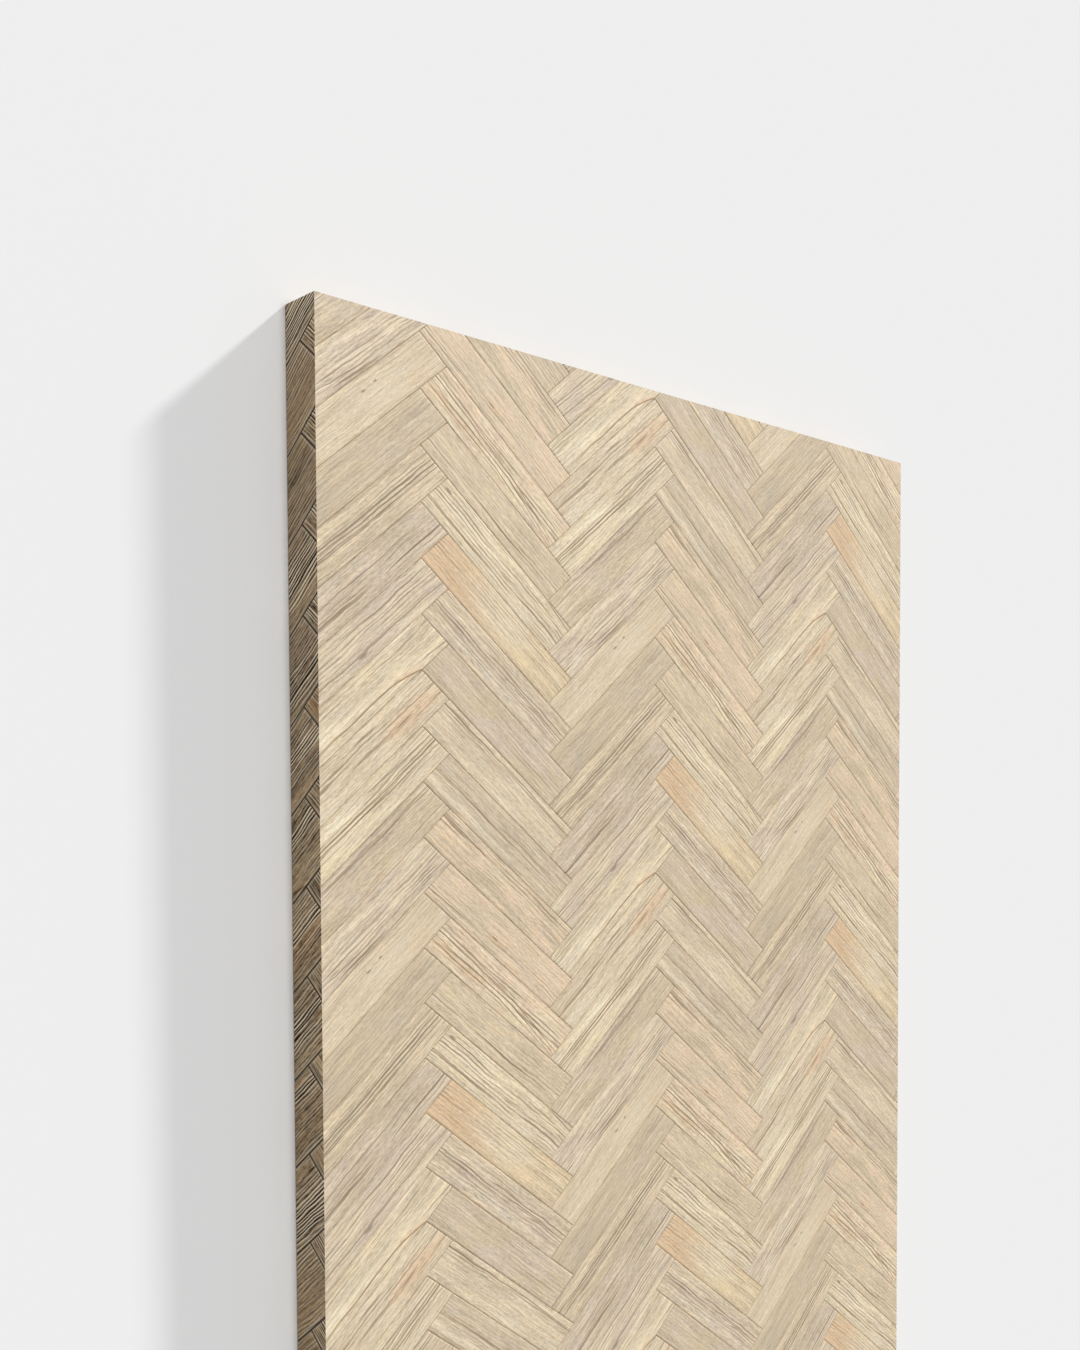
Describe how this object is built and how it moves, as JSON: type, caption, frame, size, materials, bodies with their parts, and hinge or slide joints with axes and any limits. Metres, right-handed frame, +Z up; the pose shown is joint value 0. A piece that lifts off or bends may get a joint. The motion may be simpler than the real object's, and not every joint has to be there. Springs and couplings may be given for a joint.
{
  "type": "laminate floor plank",
  "caption": "Long flat laminate floor plank with plain square edges, its face embossed with the joints of a herringbone parquet of narrow staves.",
  "frame": {"origin": "centre of the flat back, which lies on the floor", "axes": "+X across the width, +Y along the length, +Z up out of the decor face"},
  "size_m": [0.244, 1.38, 0.012],
  "materials": {
    "decor_board": "matt printed decor of pale washed oak staves on a pressed board, darker herringbone on the edges"
  },
  "bodies": {
    "root": {"plank": "decor_board"}
  },
  "joints": []
}
